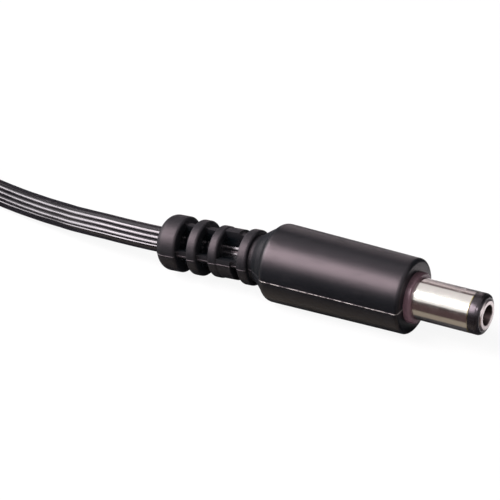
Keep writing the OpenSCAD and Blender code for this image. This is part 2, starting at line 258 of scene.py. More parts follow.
LAMP_AIM = Vector((-0.02, 0, 0))
soft_box("key_box", -41, 41, 0.6, 0.36, 0.34, 4.5, (1, 0.94, 0.955))
soft_box("lead_box", -72, 34, 0.6, 0.28, 0.44, 3.7, (1, 0.97, 0.99))
soft_box("front_box", 15, 33, 0.8, 0.5, 0.3, 0.4)
soft_box("glint_box", 33, 44, 0.6, 0.07, 0.07, 0.7, (1, 0.96, 0.98))

# Cards round the part, seen only in its gloss, give it the depth that black plastic and
# plated metal have under small soft boxes. A card is a colour and its corners, in metres.
# The overhead one glows.
LOW, FAR_Y, BACK_TOP, OVER_Z, WIDE = floor_z + 0.0001, 0.25, 0.26, 0.47, 0.6
NEAR_Y, STRIP_Y, UNDER_Y, REAR_Y = -0.2, -0.0085, -0.0036, 0.02
PALE_LEFT, PALE_RIGHT = -0.2, -0.095
GLOW, NO_GLOW = 0.88, 0.0
dark, pale = (0.055, 0.055, 0.062, 1), (0.42, 0.38, 0.39, 1)
cards = {
    "near_card": ((0.22, 0.2, 0.165, 1), level_corners(-0.3, 0.2, STRIP_Y, UNDER_Y, LOW)),
    "under_card": (dark, [
        (-0.3, UNDER_Y, LOW), (0.2, UNDER_Y, LOW), (0.2, 0.0015, LOW),
        (-0.0005, 0.0015, LOW), (-0.0005, REAR_Y, LOW), (-0.3, REAR_Y, LOW)]),
    "low_card": ((0.05, 0.033, 0.034, 1), level_corners(-0.3, 0.2, NEAR_Y, STRIP_Y, LOW)),
    "front_card": ((0.05, 0.035, 0.036, 1), upright_corners(-0.3, 0.25, NEAR_Y, LOW, 0.05)),
    "rear_card_left": (dark, [
        (-WIDE, REAR_Y, LOW), (-0.0105, REAR_Y, LOW), (-0.12, FAR_Y, LOW), (-WIDE, FAR_Y, LOW)]),
    "rear_card_right": (dark, [
        (0.0004, REAR_Y, LOW), (WIDE, REAR_Y, LOW), (WIDE, FAR_Y, LOW), (-0.11, FAR_Y, LOW)]),
    "back_card": (pale, upright_corners(PALE_LEFT, PALE_RIGHT, FAR_Y, LOW, BACK_TOP)),
    "back_card_left": (dark, upright_corners(-WIDE, PALE_LEFT, FAR_Y, LOW, BACK_TOP)),
    "back_card_right": (dark, upright_corners(PALE_RIGHT, WIDE, FAR_Y, LOW, BACK_TOP)),
    "high_card": ((0.05, 0.036, 0.038, 1),
                  upright_corners(-WIDE, WIDE, FAR_Y, BACK_TOP, OVER_Z)),
    "over_card": (dark, level_corners(-WIDE, WIDE, FAR_Y, -0.1, OVER_Z))}
for name, (colour, corners) in cards.items():
    card = sheet_of(name, corners)
    card_paper = Finish(name, Roughness=1.0, Specular_IOR_Level=0.0, Base_Color=colour,
                        Emission_Color=(1, 0.97, 0.98, 1),
                        Emission_Strength=GLOW if name == "over_card" else NO_GLOW)
    card.data.materials.append(card_paper.material)
    card.visible_camera = card.visible_diffuse = card.visible_shadow = False

# ---- lead ----
# Flat twin flex: two stranded cores side by side in one black PVC skin, with three ridges
# along each flat face. It leaves the strain relief, sinks to the floor, turns on edge and
# is folded into a hank. Lengths here and below are in millimetres, angles in degrees.
FLEX_W, FLEX_T, RIDGE_PITCH, RIDGE_R = 3.5, 1.9, 0.7, 0.6
# The flex leaves the relief turned by FLEX_ROLL, which it loses over ROLL_OVER from ROLL_FROM
FLEX_ROLL, ROLL_FROM, ROLL_OVER = 38.0, 43, 22
run_route = np.array([
    [-38.2, 0, -1.05], [-40, -0.05, -1.11], [-42, -0.1, -1.15], [-44, -0.1, -1.19],
    [-46, -0.05, -1.24], [-48, 0.1, -1.33], [-50, 0.3, -1.48], [-52, 0.65, -1.7],
    [-54, 1.05, -1.95], [-56, 1.6, -2.2], [-58, 2.2, -2.5], [-60, 2.75, -2.75],
    [-62, 3.3, -2.95], [-64, 3.85, -3.15], [-66, 4.4, -3.3], [-68, 4.95, -3.42],
    [-70, 5.45, -3.47], [-72, 5.95, -3.5], [-74, 6.4, -3.5], [-76, 6.85, -3.5],
    [-78, 7.25, -3.5], [-80, 7.7, -3.5], [-82, 8.15, -3.5], [-84, 8.65, -3.5],
    [-86, 9.2, -3.5], [-88, 9.75, -3.5], [-90, 10.25, -3.5], [-91.5, 10.6, -3.5],
    [-93, 10.9, -3.5]])
# The hank's middle and its three layers. It is a loop with a round fold at each end, whose
# middles are FOLD_HALF from its own, and a waist that is drawn in to WAIST_HALF. The free
# run joins it at JOIN_X.
HANK = np.array([-115.5, -1.2])
LAYERS_Z = np.array([-3.55, -0.05, 3.45])
FOLD_R, WAIST_HALF, FOLD_HALF = 10.5, 2.4, 20.6
JOIN_X = HANK[0] + 21.9
WAIST_R = (FOLD_HALF ** 2 + WAIST_HALF ** 2 - FOLD_R ** 2) / (2 * (FOLD_R - WAIST_HALF))
WAIST_Y = WAIST_HALF + WAIST_R


def smooth(t):
    """0 below 0, 1 above 1, and 3t^2 - 2t^3 between them."""
    t = np.clip(t, 0, 1)
    return t * t * (3 - 2 * t)


def along(points):
    """Distance along a line of points, from 0 at its first."""
    return np.concatenate([[0], np.cumsum(np.linalg.norm(np.diff(points, axis=0), axis=1))])


def resampled(points, step):
    """The same line with points a step apart, smoothed by cubic Hermite pieces."""
    s = along(points)
    slope = np.gradient(points, s, axis=0)
    at = np.linspace(0, s[-1], max(2, int(round(s[-1] / step)) + 1))
    i = np.clip(np.searchsorted(s, at, side="right") - 1, 0, len(s) - 2)
    h = (s[i + 1] - s[i])[:, None]
    t = (at - s[i])[:, None] / h
    return ((2 * t**3 - 3 * t**2 + 1) * points[i] + (t**3 - 2 * t**2 + t) * h * slope[i]
            + (3 * t**2 - 2 * t**3) * points[i + 1] + (t**3 - t**2) * h * slope[i + 1])


def hank_loop(turn, column):
    """A point of the folded loop, at a fraction of a turn and a column that may be fractional.
    A turn is four arcs that are tangent: back waist, left fold, front waist, right fold."""
    half = math.atan2(FOLD_HALF, WAIST_Y)
    fold = 2 * math.pi - 2 * (math.pi / 2 - half)
    parts = np.array([2 * half * WAIST_R, fold * FOLD_R, 2 * half * WAIST_R, fold * FOLD_R])
    edges = np.concatenate([[0], np.cumsum(parts)]) / parts.sum()
    t = turn % 1.0
    k = np.clip(np.searchsorted(edges, t, side="right") - 1, 0, 3)
    f = (t - edges[k]) / (edges[k + 1] - edges[k])
    centre_x = np.array([0, -FOLD_HALF, 0, FOLD_HALF])[k]
    centre_y = np.array([WAIST_Y, 0, -WAIST_Y, 0])[k]
    start = np.array([-math.pi / 2 + half, math.pi / 2 - half, math.pi / 2 + half,
                      -math.pi / 2 - half])[k]
    sweep = np.array([-2 * half, fold, -2 * half, fold])[k]
    radius = np.where(k % 2 == 0, WAIST_R - FLEX_T * column, FOLD_R + FLEX_T * column)
    angle = start + sweep * f
    return np.stack([centre_x + radius * np.cos(angle), centre_y + radius * np.sin(angle)], -1)


# The hank: two columns of turns in three layers, on edge. Each pass of the front waist
# steps across or up a little earlier than the one before it, so that no two cross there,
# and the last pass climbs onto the top and lies flat. Steps are (from mm, to mm, column,
# height) before or after the middle of each front waist.
MID_WAIST, FIRST_TURN, LAST_TURN = 0.5945, 0.9448, 6
TURN_MM, STEP_MM, TOP_Z = 160.0, 1.6, 6.15
steps = [(1, 14, 0, LAYERS_Z[0]), (-13, -1, 0, LAYERS_Z[1]), (-27, -14, 1, LAYERS_Z[1]),
         (-40, -28, 1, LAYERS_Z[2]), (-54, -41, 0, LAYERS_Z[2]), (-74, -54, 0.5, TOP_Z)]
turns = np.arange(FIRST_TURN, MID_WAIST + LAST_TURN + 2.5 / TURN_MM, STEP_MM / TURN_MM)
column = np.ones_like(turns)
height = np.full_like(turns, LAYERS_Z[0])
for k, (begin, end, to_column, to_height) in enumerate(steps, 1):
    waist = k + MID_WAIST
    f = smooth((turns - waist - begin / TURN_MM) / ((end - begin) / TURN_MM))
    column = column + (to_column - column) * f
    height = height + (to_height - height) * f
flat = f
flat_loop = hank_loop(turns, column)
# The tie lifts the layers by up to LIFT where it passes under them, the lowest one most
LIFT, LIFT_HALF = 0.62, 9
from_top = np.clip((5.2 - height) / 8.75, 0, 1)
lift = LIFT * smooth(1 - np.abs(flat_loop[:, 0]) / LIFT_HALF) * from_top
hank_line = np.column_stack([flat_loop + HANK, height + lift])
run_line = resampled(np.vstack([run_route, hank_line[1:4]]), 0.5)
run_line = run_line[run_line[:, 0] > JOIN_X]
route = np.vstack([run_line, hank_line])
roll = FLEX_ROLL * (1 - smooth((along(route) - ROLL_FROM) / ROLL_OVER))
roll[len(run_line):] += 90 * flat


def flex_outline():
    """Outline of the flex as (thickness, width) points: at each place across the width the
    half thickness is that of the round edge, or of the nearest of the three ridges."""
    edge = FLEX_T / 2
    last = 1.5 * RIDGE_PITCH
    round_end = last + (FLEX_W / 2 - last) * np.sin(np.linspace(0, math.pi / 2, 9))[1:]
    across = np.concatenate([-round_end[::-1], np.linspace(-last, last, 37), round_end])
    beyond = np.clip(np.abs(across) - (FLEX_W / 2 - edge), 0, edge)
    thick = np.sqrt(np.maximum(edge ** 2 - beyond ** 2, 0))
    for k in (-1, 0, 1):
        ridge = np.sqrt(np.maximum(RIDGE_R ** 2 - (across - k * RIDGE_PITCH) ** 2, 0))
        near = np.abs(across - k * RIDGE_PITCH) <= RIDGE_PITCH / 2
        thick = np.where(near, edge - RIDGE_R + ridge, thick)
    return np.vstack([np.column_stack([thick, across]),
                      np.column_stack([-thick, across])[-2:0:-1]])


def carried(line, outline, roll=0.0, scale=1.0):
    """Rings of a section carried along a line. The section's first number is to the side and
    its second upwards, both turned by roll in degrees and sized by scale."""
    ahead = np.gradient(line, axis=0)
    ahead /= np.linalg.norm(ahead, axis=1)[:, None]
    side = np.cross([0.0, 0.0, 1.0], ahead)
    side /= np.linalg.norm(side, axis=1)[:, None]
    up = np.cross(ahead, side)
    turn = np.radians(np.broadcast_to(roll, len(line)))[:, None]
    size = np.broadcast_to(scale, len(line))[:, None]
    across, tall = outline[None, :, 0] * size, outline[None, :, 1] * size
    s = across * np.cos(turn) - tall * np.sin(turn)
    u = across * np.sin(turn) + tall * np.cos(turn)
    return line[:, None] + side[:, None] * s[..., None] + up[:, None] * u[..., None]


def skin(name, rings, finish, body="root", looped=False, sharp=40):
    """A closed surface through rings of points in millimetres, rings x around x 3. Each open
    end is closed by a fan to its middle, and the faces point outwards."""
    rows, around = rings.shape[:2]
    points = rings.reshape(-1, 3) * 0.001
    row = np.arange(rows if looped else rows - 1)[:, None] * around
    following = (row + around) % (rows * around)
    k = np.arange(around)[None]
    n = (k + 1) % around
    quads = np.stack([row + k, following + k, following + n, row + n], -1).reshape(-1, 4)
    faces = quads.tolist()
    if not looped:
        first, last = len(points), len(points) + 1
        points = np.vstack([points, points[:around].mean(0), points[-around:].mean(0)])
        base = (rows - 1) * around
        faces += [[first, i, (i + 1) % around] for i in range(around)]
        faces += [[last, base + (i + 1) % around, base + i] for i in range(around)]
    a, b, c, d = (points[quads[:, k]] for k in range(4))
    volume = (np.cross(b, c) * a).sum() + (np.cross(c, d) * a).sum()
    if volume < 0:
        faces = [face[::-1] for face in faces]
    mesh = bpy.data.meshes.new(name)
    mesh.from_pydata(points.tolist(), [], faces)
    mesh.validate()
    mesh.shade_smooth()
    mesh.set_sharp_from_angle(angle=math.radians(sharp))
    mesh.materials.append(finish)
    made = bpy.data.objects.new(name, mesh)
    scene.collection.objects.link(made)
    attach(made, body)
    return made


# Black flexible PVC, extruded: glossy, with a faint uneven tone and a fine grain in its surface.
flex_pvc = Finish("flex_pvc", Specular_IOR_Level=0.75, Specular_Tint=(1, 0.95, 0.99, 1))
place = flex_pvc.millimetres()
bloom = flex_pvc.noise(place, 0.35, 3)
grain = flex_pvc.noise(place, 7, 4, 0.6)
flex_pvc.feed(
    Base_Color=flex_pvc.blend(bloom, (0.003, 0.003, 0.004, 1), (0.007, 0.006, 0.008, 1)),
    Roughness=0.14 + bloom * 0.08 + grain * 0.06,
    Normal=flex_pvc.bump(grain, 0.006, 0.5))

lead = skin("lead", carried(route, flex_outline(), roll), flex_pvc.material)
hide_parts("flex_run", "flex_hank")
nodes["relief_flex"].data.materials.clear()
nodes["relief_flex"].data.materials.append(flex_pvc.material)

# ---- split and tinned ends ----
# At its free end the flex is split into its two cores, each stripped for 5 mm. The bared
# strands are twisted and dipped in solder.


def circle(steps):
    """A circle of radius 1 as (cos a, sin a) at equal steps of a."""
    a = np.linspace(0, 2 * math.pi, steps, endpoint=False)
    return np.column_stack([np.cos(a), np.sin(a)])


ROUND_STEPS = 24
tail_routes = {
    "a": [[1.6, -2.45], [3, -2.55], [6, -3.5], [9, -5.2], [12, -7.4], [15, -9.3], [18, -10.2]],
    "b": [[1.6, -4.2], [3, -4.45], [6, -5.7], [9, -7.5], [12, -9.7], [15, -11.4], [18, -12.2]]}
TAIL_R, TAIL_Z, BARE = 0.88, 6.1, 5.0
# The tinned strands: a wavy outline of LAY_COUNT strands, turned by LAY_TWIST along BARE
STRAND_R, LAY_DEPTH, LAY_COUNT, LAY_TWIST, WIRE_RINGS = 0.39, 0.06, 7, 300, 40

tinned = Finish("tinned", Metallic=1.0)
place = tinned.millimetres()
wave = tinned.noise(place, 2.2, 3)
tinned.feed(
    Base_Color=tinned.blend(wave, (0.52, 0.52, 0.54, 1), (0.68, 0.68, 0.69, 1)),
    Roughness=0.22 + wave * 0.2,
    Normal=tinned.bump(wave, 0.03, 0.6))

tails = []
for name, flat_route in tail_routes.items():
    flat_route = np.array(flat_route)
    line = np.column_stack([flat_route + HANK, np.full(len(flat_route), TAIL_Z)])
    line = resampled(line, 0.4)
    size = np.ones(len(line))
    size[-1] = 0.9
    core = skin("tail_core_" + name + "_skin",
                carried(line, circle(ROUND_STEPS) * TAIL_R, 0, size), flex_pvc.material)
    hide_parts("tail_core_" + name)
    ahead = line[-1] - line[-2]
    ahead /= np.linalg.norm(ahead)
    wire_line = line[-1] + ahead * np.linspace(-0.3, BARE, WIRE_RINGS)[:, None]
    angle = np.linspace(0, 2 * math.pi, 6 * LAY_COUNT, endpoint=False)
    lay = LAY_DEPTH * np.cos(LAY_COUNT * angle)[:, None]
    strand = STRAND_R * (1 + lay) * circle(6 * LAY_COUNT)
    taper = np.ones(WIRE_RINGS)
    taper[-3:] = 0.95, 0.8, 0.45
    wire = skin("tail_wire_" + name + "_tinned",
                carried(wire_line, strand, np.linspace(0, LAY_TWIST, WIRE_RINGS), taper),
                tinned.material)
    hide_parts("tail_wire_" + name)
    tails += [core, wire]

# ---- tie ----
# A flat wire tie, wrapped once round the waist of the hank and twisted on top of it.
tie_pvc = Finish("tie_pvc")
place = tie_pvc.millimetres()
grain = tie_pvc.noise(place, 5, 3)
tie_pvc.feed(
    Base_Color=tie_pvc.blend(grain, (0.02, 0.02, 0.021, 1), (0.035, 0.034, 0.035, 1)),
    Roughness=0.36 + grain * 0.12,
    Normal=tie_pvc.bump(grain, 0.01, 0.5))
# Its loop in the plane x = HANK[0], as the middle of the band: reach to each side, the
# bottom on the floor, the top over the layers and the higher top over the last pass
TIE_T, TIE_HALF, TIE_BEAD, BEND = 0.22, 1.75, 0.12, 0.8
reach_y, low_z, high_z, top_z = WAIST_HALF + 1.5 * FLEX_T + 0.33, -5.3 + 0.34, 5.5, 7.35
corner = np.linspace(0, math.pi / 2, 7)


def corner_arc(y, z, start):
    """A quarter circle of radius BEND about (y, z), anticlockwise from start in quarters."""
    return np.column_stack([y + BEND * np.cos(corner + start * math.pi / 2),
                            z + BEND * np.sin(corner + start * math.pi / 2)])


loop_yz = np.vstack([
    corner_arc(-reach_y + BEND, low_z + BEND, 2), corner_arc(reach_y - BEND, low_z + BEND, 3),
    corner_arc(reach_y - BEND, high_z - BEND, 0), [[-0.6, high_z]],
    [[-1.3, high_z + 0.9]], corner_arc(-2.2, top_z - BEND, 0.6)[:5],
    corner_arc(-reach_y + BEND + 0.15, top_z - BEND, 1)])
loop_line = np.column_stack([np.zeros(len(loop_yz)), loop_yz])
loop_line = np.vstack([loop_line, loop_line[:1]])
s = along(loop_line)
at = np.linspace(0, s[-1], 140, endpoint=False)
loop_line = np.column_stack([np.interp(at, s, loop_line[:, i]) for i in range(3)])
for _ in range(3):
    loop_line = (np.roll(loop_line, 1, 0) + 2 * loop_line + np.roll(loop_line, -1, 0)) / 4
ahead = np.roll(loop_line, -1, 0) - np.roll(loop_line, 1, 0)
ahead /= np.linalg.norm(ahead, axis=1)[:, None]
out = np.cross([1.0, 0, 0], ahead)
# The band: flat below, with square edges and a bead over its wire along the middle above
across = np.linspace(-1, 1, 21)
thick = (TIE_T * np.sqrt(np.clip(1 - np.abs(across) ** 8, 0, 1))
         + TIE_BEAD * np.exp(-(across * 6) ** 2))
band = np.vstack([np.column_stack([TIE_HALF * across, thick]),
                  np.column_stack([TIE_HALF * across, np.full(21, -TIE_T)])[-2:0:-1]])
band_rings = (loop_line[:, None] + np.array([1.0, 0, 0]) * band[None, :, :1]
              - out[:, None] * band[None, :, 1:])
band_rings += np.array([HANK[0], HANK[1], 0])
tie_band = skin("hank_tie_band", band_rings, tie_pvc.material, looped=True)
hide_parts("hank_tie")
# Its two ends, twisted round each other as they lie along the hank
TWIST_LENGTH, TWIST_TURNS, TWIST_R, TWIST_HEADING = 11.3, 3.2, 0.42, math.radians(20)
twist_start = np.array([HANK[0] - 0.3, HANK[1] + 2.5, 6.35])
leaf = circle(ROUND_STEPS) * (0.2, 0.55)
s = np.linspace(0, 1, 90)
heading = np.array([math.cos(TWIST_HEADING), math.sin(TWIST_HEADING), 0])
sideways = np.array([-heading[1], heading[0], 0])
for side in (0, math.pi):
    spin = side + 2 * math.pi * TWIST_TURNS * s
    wide = TWIST_R * smooth(s * 8)
    line = (twist_start + heading * (TWIST_LENGTH * s)[:, None]
            + sideways * (wide * np.cos(spin))[:, None]
            + np.array([0, 0, 1.0]) * (wide * np.sin(spin))[:, None])
    ends = np.clip(np.minimum(s, 1 - s) * 30, 0.3, 1)
    twist = skin("hank_tie_twist_" + ("a" if side == 0 else "b"),
                 carried(line, leaf, np.degrees(spin), ends), tie_pvc.material)

# ---- outer moulding ----
# One shot of black PVC over the contacts and the flex: the handle, and four rings joined by
# four spines. The windows between the spines over the flex's flat faces go down to it, and
# the others stop at a core. The mould's parting line runs along both sides as a fine flash.
BODY_FRONT, BODY_REAR, NECK_X, CABLE_X = -0.9, -21.6, -23.5, -38.3
FRONT_R, REAR_R, NECK_R, SPINE_R, CORE_R = 5.05, 5.3, 3.2, 3.1, 2.35
RING_FRONTS, RING_ENDS = [-24.0, -28.7, -31.8, -35.0], [-25.5, -30.1, -33.3, -38.3]
RING_RADII, RING_ROUND, DOME_ROUND, LAND_FRONT = [3.75, 3.5, 3.75, 3.8], 0.35, 1.4, -26.6
# Half a spine's width, the relief's sag under the lead and the parting line's place, in
# degrees round the axis
SPINE_HALF, SAG, PARTING = 9.0, 3.6, 4.0
# Radii of the front edge and the shoulder, the radius that the windows over the flat faces
# reach down to, the radius of the land in front of them, and the flash's height
EDGE, SHOULDER, FLAT_FLOOR, LAND_R, FLASH_H = 0.5, 1.1, 0.75, 3.4, 0.06


def bearings():
    """Angles round the axis in degrees from +Y towards +Z, close together at the sides of
    the windows and at the parting line."""
    side = np.array([-2.4, -1.2, -0.7, -0.35, 0, 0.35, 0.7, 1.2, 2.4])
    walls = [90 * q + s * SPINE_HALF + side for q in range(4) for s in (-1, 1)]
    crest = np.array([-1.3, -0.75, -0.4, 0, 0.4, 0.75, 1.3])
    flash = [PARTING + crest, 180 + PARTING + crest]
    every = np.concatenate([*walls, *flash, np.arange(0, 360, 3.0)]) % 360
    every = np.sort(every)
    return every[np.append(np.diff(every) > 0.2, True)]


bearing = bearings()
from_spine = np.abs((bearing + 45) % 90 - 45)
opened = smooth((from_spine - SPINE_HALF + 0.7) / 1.4)
over_flat = ((bearing // 90) % 2 == 1) & (bearing % 90 > 4) & (bearing % 90 < 86)
deep = np.where(over_flat, FLAT_FLOOR, CORE_R)
window_floor = SPINE_R + (deep - SPINE_R) * opened
land_floor = np.where(over_flat, LAND_R + (FLAT_FLOOR - LAND_R) * opened, LAND_R)
flash = sum(np.exp(-((bearing - at) / 0.55) ** 2) for at in (PARTING, 180 + PARTING))
even = np.ones_like(bearing)


def rounded(radius, x, edge, size, steps=7):
    """The quarter-round edge of a ring, from its outside to its face at x (edge is 1 where the
    ring lies behind the face, and -1 where it lies in front)."""
    a = np.linspace(0, math.pi / 2, steps)
    return [(x - edge * size * (1 - math.sin(t)), (radius - size * (1 - math.cos(t))) * even)
            for t in a]


# The outline from the pocket round the collar, over the handle, to the neck. Each row is an
# x and the radius at every bearing.
profile = [(-4.0, 0.4), (-4.0, 3.38), (BODY_FRONT - 0.05, 3.38)]
profile += [(BODY_FRONT, r) for r in (3.42, 3.9, FRONT_R - EDGE - 0.02)]
profile += [(BODY_FRONT - EDGE * (1 - math.cos(t)), FRONT_R - EDGE + EDGE * math.sin(t))
            for t in np.linspace(0, math.pi / 2, 10)[1:]]
body_x = np.linspace(BODY_FRONT - EDGE, BODY_REAR + SHOULDER, 26)[1:-1]
profile += [(x, FRONT_R + (REAR_R - FRONT_R) * (x - body_x[0]) / (body_x[-1] - body_x[0]))
            for x in body_x]
profile += [(BODY_REAR + SHOULDER - SHOULDER * math.sin(t),
             REAR_R - SHOULDER + SHOULDER * math.cos(t))
            for t in np.linspace(0, math.radians(60), 12)]
shoulder, neck = np.array(profile[-1]), np.array([NECK_X, NECK_R])
profile += [shoulder + (neck - shoulder) * t for t in (0.2, 0.4, 0.6, 0.8)]
heel, toe = shoulder + (neck - shoulder) * 0.9, np.array([NECK_X - 0.35, NECK_R - 0.02])
profile += [(1 - t) ** 2 * heel + 2 * t * (1 - t) * neck + t * t * toe
            for t in np.linspace(0, 1, 7)]
profile += [(RING_FRONTS[0] + 0.15, SPINE_R + 0.01), (RING_FRONTS[0] + 0.02, SPINE_R + 0.05)]
rows = [(x, r * even) for x, r in profile]
down = np.array([0.0, 0.04, 0.15, 0.3, 0.5, 0.7, 0.85, 0.96, 1.0])


def wall(x, top, floor, rising=False):
    """A plane wall across the axis between two outlines of radius, at the same x."""
    f = down[::-1] if rising else down
    return [(x, top + (floor - top) * t) for t in f]


foot_r = np.where(over_flat, 0.62, 0.15)


def foot(x, top, floor):
    """The fillet where the floor of a window meets a wall at x that faces the tip: at dx in
    front of the wall the radius is floor + foot_r (1 - sqrt(1 - (1 - dx / foot_r)^2))."""
    made = []
    for dx in (0.6, 0.5, 0.4, 0.3, 0.2, 0.12, 0.06, 0.02, 0):
        inside = np.clip(1 - dx / foot_r, 0, 1)
        rise = foot_r * (1 - np.sqrt(1 - inside ** 2))
        made.append((x + dx, np.minimum(floor + rise, np.maximum(top, floor))))
    return made


for i, (front, end, radius) in enumerate(zip(RING_FRONTS, RING_ENDS, RING_RADII)):
    top = (radius - RING_ROUND) * even
    if i == 1:
        rows.append((front + 0.02, np.where(land_floor > 3.2, radius - 0.1, land_floor)))
        rows += wall(front, np.maximum(top, land_floor), land_floor, True)[1:-1]
    elif i > 1:
        rows += foot(front, top, window_floor)
        rows += wall(front, top, rows[-1][1], True)[1:]
    rows += rounded(radius, front, 1, RING_ROUND)[::-1]
    if i == 3:
        break
    rows += [(front - (front - end) * t, radius * even) for t in (0.4, 0.5, 0.6)]
    rows += rounded(radius, end, -1, RING_ROUND)
    rows += wall(end, top, window_floor)
    if i == 0:
        rows += foot(LAND_FRONT, land_floor, window_floor)
        foot_top = rows[-1][1]
        rows += [(LAND_FRONT - 0.05 * t, foot_top + (land_floor - foot_top) * t)
                 for t in down[1:]]
# The last ring is the domed end that the lead leaves
rows += [(front - 0.8, radius * even), (CABLE_X + DOME_ROUND + 0.3, radius * even)]
rows += [(CABLE_X + DOME_ROUND - DOME_ROUND * math.sin(t),
          (radius - DOME_ROUND + DOME_ROUND * math.cos(t)) * even)
         for t in np.linspace(0, math.radians(75), 12)]
rows += [(CABLE_X + dx, r * even) for dx, r in ((0, 2.4), (0, 2.0), (0.08, 1.2), (0.2, 0.5))]

x_rows = np.array([x for x, _ in rows])
r_rows = np.array([r for _, r in rows])
# The flash stands on the outside of the handle and the rings, behind the front edge
proud = np.clip((r_rows - 2.9) / 0.2, 0, 1) * (x_rows < BODY_FRONT - 0.3)[:, None]
r_rows = r_rows + FLASH_H * flash * proud
rad = np.radians(bearing)
moulding_rings = np.stack([np.repeat(x_rows[:, None], len(rad), 1), r_rows * np.cos(rad),
                           r_rows * np.sin(rad)], -1)
# The relief sags about the handle's rear
tilt = math.radians(SAG) * smooth((BODY_REAR + 0.2 - x_rows) / 1.6)[:, None]
x, z = moulding_rings[..., 0] - BODY_REAR, moulding_rings[..., 2]
moulding_rings[..., 0] = BODY_REAR + x * np.cos(tilt) - z * np.sin(tilt)
moulding_rings[..., 2] = x * np.sin(tilt) + z * np.cos(tilt)

body_pvc = Finish("body_pvc", Specular_IOR_Level=0.42, Specular_Tint=(1, 0.81, 0.88, 1))
place = body_pvc.millimetres()
cloud = body_pvc.noise(place, 0.22, 3)
spark = body_pvc.noise(place, 9, 3, 0.6)
fine = body_pvc.noise(place, 26, 2, 0.5)
rubbed = body_pvc.noise(body_pvc.millimetres((0.25, 1, 1)), 1.3, 4, 0.65)
# The trimmed crest of the flash, on the handle: a pale broken line in the parting plane
x, y, z = body_pvc.axes(place)
from_plane = abs(z * math.cos(math.radians(PARTING)) - y * math.sin(math.radians(PARTING)))
broken = body_pvc.noise(body_pvc.millimetres((1, 0.2, 0.2)), 1.1, 3, 0.7).within(0.4, 0.56)
trimmed = (1 - from_plane.within(0.03, 0.085)) * broken * (x + 21.2).within(0, 0.6)
# The mould is polished for the handle and left matt from the spark for the relief, and the
# cores that shape the relief's windows are polished
relief = 1 - (x + 23.2).within(-0.4, 0.4)
above_axis = z - (x - BODY_REAR) * math.sin(math.radians(SAG))
pinned = relief * (1 - ((y * y + above_axis * above_axis) ** 0.5).within(2.2, 2.8))
body_pvc.feed(
    Base_Color=body_pvc.blend(trimmed, body_pvc.blend(
        cloud, (0.002, 0.0035, 0.0045, 1), (0.004, 0.006, 0.0075, 1)), (0.3, 0.28, 0.27, 1)),
    Roughness=(0.3 + cloud * 0.08 + rubbed.within(0.5, 0.75) * 0.1 + relief * 0.16
               - pinned * 0.3),
    Normal=body_pvc.bump(fine, 0.004, 0.7, body_pvc.bump(spark * (1 + relief), 0.012, 0.8)))
moulding = skin("overmould_skin", moulding_rings, body_pvc.material, sharp=50)
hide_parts("overmould")

# ---- inner moulding ----
# The hard pre-mould that holds the contacts. Only its collar shows, round the sleeve.
pre_mould = Finish("pre_mould", Specular_Tint=(1, 0.8, 0.88, 1))
place = pre_mould.millimetres()
grain = pre_mould.noise(place, 12, 3)
# The collar is black plastic, but its base colour is a lighter pink grey: painted sheen standing
# in for the highlight the lamps put on it
pre_mould.feed(
    Base_Color=pre_mould.blend(grain, (0.08, 0.046, 0.056, 1), (0.12, 0.07, 0.084, 1)),
    Roughness=0.24 + grain * 0.12,
    Normal=pre_mould.bump(grain, 0.004, 0.5))
nodes["inner_mould"].data.materials.clear()
nodes["inner_mould"].data.materials.append(pre_mould.material)

# ---- sleeve contact ----
# A brass tube, turned and nickel plated, with a hidden root and flange behind the collar.
steps_round = np.linspace(0, 2 * math.pi, 180, endpoint=False)


def turned(profile):
    """Rings of a solid of revolution about X: a point (x, r) of the profile at angle a is
    (x, r cos a, r sin a)."""
    profile = np.array(profile, float)
    x, r = profile[:, :1], profile[:, 1:]
    return np.stack([np.repeat(x, len(steps_round), 1), r * np.cos(steps_round),
                     r * np.sin(steps_round)], -1)


def eased(corners, size, steps=5):
    """A closed profile whose corners are each rounded by a parabola that starts size before
    the corner, or nearer where the side is short."""
    corners = np.array(corners, float)
    before, after = np.roll(corners, 1, 0) - corners, np.roll(corners, -1, 0) - corners
    reach_before = np.minimum(size, 0.45 * np.linalg.norm(before, axis=1))
    reach_after = np.minimum(size, 0.45 * np.linalg.norm(after, axis=1))
    start = corners + before * (reach_before / np.linalg.norm(before, axis=1))[:, None]
    end = corners + after * (reach_after / np.linalg.norm(after, axis=1))[:, None]
    t = np.linspace(0, 1, steps)[None, :, None]
    curve = ((1 - t) ** 2 * start[:, None] + 2 * t * (1 - t) * corners[:, None]
             + t * t * end[:, None])
    return curve.reshape(-1, 2)


nickel = Finish("nickel", Metallic=1.0)
place = nickel.millimetres()
turning = nickel.noise(nickel.millimetres((34, 0.25, 0.25)), 1.0, 3, 0.6)
smudge = nickel.noise(place, 0.8, 4, 0.6)
speck = nickel.noise(place, 14, 2)
# The plating is rubbed through to brass round the sleeve's front edge
x = nickel.axes(place)[0]
edge_wear = x.within(7.68, 7.8) * (1 - x.within(7.9, 7.95)) * smudge.within(0.35, 0.6)
nickel.feed(
    Base_Color=nickel.blend(edge_wear, nickel.blend(
        smudge, (0.66, 0.63, 0.59, 1), (0.78, 0.75, 0.71, 1)), (0.5, 0.42, 0.16, 1)),
    Roughness=0.15 + smudge.within(0.45, 0.8) * 0.12 + turning * 0.06,
    Normal=nickel.bump(turning, 0.0012, 0.6, nickel.bump(speck, 0.0015, 0.3)))
barrel = skin("outer_barrel_turned", turned(eased([
    (7.9, 2.35), (7.9, 2.63), (7.78, 2.75), (-0.4, 2.75), (-0.4, 3.0), (-2.5, 3.0), (-2.5, 3.3),
    (-3.3, 3.3), (-3.3, 2.35)], 0.06)), nickel.material, looped=True)
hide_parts("outer_barrel")
# The pre-mould's skin that closes over the root of the sleeve
lip = skin("collar_lip", turned(eased([(0, 2.75), (0, 3.0), (-0.4, 3.0), (-0.4, 2.75)], 0.03)),
           pre_mould.material, looped=True)

